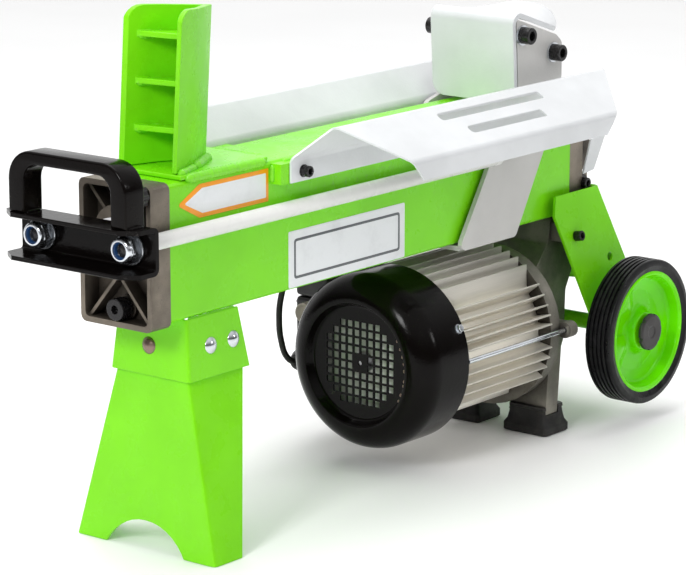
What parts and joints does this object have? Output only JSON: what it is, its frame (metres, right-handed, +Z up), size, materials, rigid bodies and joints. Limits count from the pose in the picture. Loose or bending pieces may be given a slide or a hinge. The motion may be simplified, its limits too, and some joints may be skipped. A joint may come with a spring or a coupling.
{
  "type": "log splitter",
  "caption": "Horizontal electric-hydraulic log splitter: tube frame, fixed wedge, sliding pusher pulled by side rods, log trays, motor, gear pump, front leg and rear wheels.",
  "frame": {"origin": "on the floor, under the centre of the outer box", "axes": "+X along the beam from the handle to the wheels, +Y to the side with the switch box, +Z up"},
  "size_m": [0.7814, 0.2635, 0.4688],
  "materials": {
    "green_paint": "glossy enamel on steel",
    "white_paint": "satin powder coat on steel",
    "grey_paint": "satin powder coat on steel",
    "black_paint": "gloss black enamel on steel",
    "black_steel": "black oxide",
    "zinc": "bright zinc plating",
    "steel": "machined steel",
    "chrome": "hard chrome",
    "cast_aluminium": "as cast",
    "extruded_aluminium": "raw extrusion",
    "black_plastic": "moulded",
    "grey_plastic": "moulded",
    "green_plastic": "moulded",
    "red_plastic": "moulded",
    "lime_plastic": "moulded",
    "rubber": "matt rubber",
    "tyre": "matt grooved rubber"
  },
  "bodies": {
    "frame": {"beam": "green_paint", "front_cover": "cast_aluminium", "drain_plug": "black_steel", "wedge_base": "green_paint", "wedge": "green_paint", "front_leg_bracket": "green_paint", "front_leg": "green_paint", "tray_near": "white_paint", "tray_far": "white_paint", "cylinder_tube": "steel", "rear_cover": "cast_aluminium", "valve_body": "cast_aluminium", "lever_guard": "white_paint", "pump_casting": "cast_aluminium", "fan_cover": "black_paint", "motor_front_shield": "cast_aluminium", "stator_housing": "extruded_aluminium", "stator_core": "steel", "motor_end_bell": "cast_aluminium", "rubber_foot_near": "rubber", "rubber_foot_far": "rubber", "terminal_box": "black_plastic", "switch_box": "black_plastic", "cable_gland": "black_plastic", "motor_lead": "rubber", "capacitor": "grey_plastic", "rear_stand": "green_paint", "axle": "green_paint"},
    "ram": {"yoke": "black_paint", "carry_handle": "black_paint", "side_rod_near": "white_paint", "side_rod_far": "white_paint", "rod_nut_near": "zinc", "rod_nut_far": "zinc", "piston_rod": "chrome", "piston": "steel", "pusher_plate": "white_paint", "carriage_arm_near": "grey_paint", "carriage_arm_far": "grey_paint", "carriage_cross_plate": "grey_paint", "pusher_screw_near_front": "black_steel", "pusher_screw_near_rear": "black_steel", "pusher_screw_far_front": "black_steel", "pusher_screw_far_rear": "black_steel"},
    "rotor": {"motor_rotor": "steel", "cooling_fan": "grey_plastic", "pump_drive_gear": "steel"},
    "driven_gear": {"pump_driven_gear": "steel"},
    "wheel_near": {"tyre_near": "tyre", "rim_near": "lime_plastic", "hub_cap_near": "grey_plastic"},
    "wheel_far": {"tyre_far": "tyre", "rim_far": "lime_plastic", "hub_cap_far": "grey_plastic"},
    "lever": {"control_lever": "steel", "lever_knob": "black_plastic"},
    "spool": {"valve_spool": "steel"},
    "start_button": {"start_button": "green_plastic"},
    "stop_button": {"stop_button": "red_plastic"},
    "bleed_screw": {"bleed_screw": "black_plastic"}
  },
  "joints": [
    {"name": "ram_slide", "type": "slide", "parent": "frame", "child": "ram", "axis": [-1, 0, 0], "range_m": [0, 0.275]},
    {"name": "rotor_spin", "type": "hinge", "parent": "frame", "child": "rotor", "pos_m": [0.13, 0, 0.106], "axis": [1, 0, 0], "continuous": true},
    {"name": "driven_gear_spin", "type": "hinge", "parent": "frame", "child": "driven_gear", "pos_m": [0.249, 0, 0.132], "axis": [1, 0, 0], "continuous": true},
    {"name": "wheel_near_spin", "type": "hinge", "parent": "frame", "child": "wheel_near", "pos_m": [0.31875, -0.101, 0.093], "axis": [0, 1, 0], "continuous": true},
    {"name": "wheel_far_spin", "type": "hinge", "parent": "frame", "child": "wheel_far", "pos_m": [0.31875, 0.101, 0.093], "axis": [0, 1, 0], "continuous": true},
    {"name": "control_lever_tilt", "type": "hinge", "parent": "frame", "child": "lever", "pos_m": [0.32175, 0.045, 0.27], "axis": [0, 1, 0], "range_deg": [0, 20], "stiffness_Nm_per_rad": 2, "springref_deg": -11.46},
    {"name": "valve_spool_slide", "type": "slide", "parent": "frame", "child": "spool", "axis": [-1, 0, 0], "range_m": [0, 0.0045]},
    {"name": "start_button_press", "type": "slide", "parent": "frame", "child": "start_button", "axis": [0, -1, 0], "range_m": [0, 0.003], "stiffness_N_per_m": 300, "springref_m": -0.002},
    {"name": "stop_button_press", "type": "slide", "parent": "frame", "child": "stop_button", "axis": [0, -1, 0], "range_m": [0, 0.003], "stiffness_N_per_m": 300, "springref_m": -0.002},
    {"name": "bleed_screw_turn", "type": "hinge", "parent": "frame", "child": "bleed_screw", "pos_m": [-0.32825, -0.032, 0.3215], "axis": [1, 0, 0], "range_deg": [0, 360]}
  ],
  "couplings": [
    {"joint": "driven_gear_spin", "follows": "rotor_spin", "ratio": -1},
    {"joint": "valve_spool_slide", "follows": "control_lever_tilt", "m_per_rad": 0.009}
  ]
}
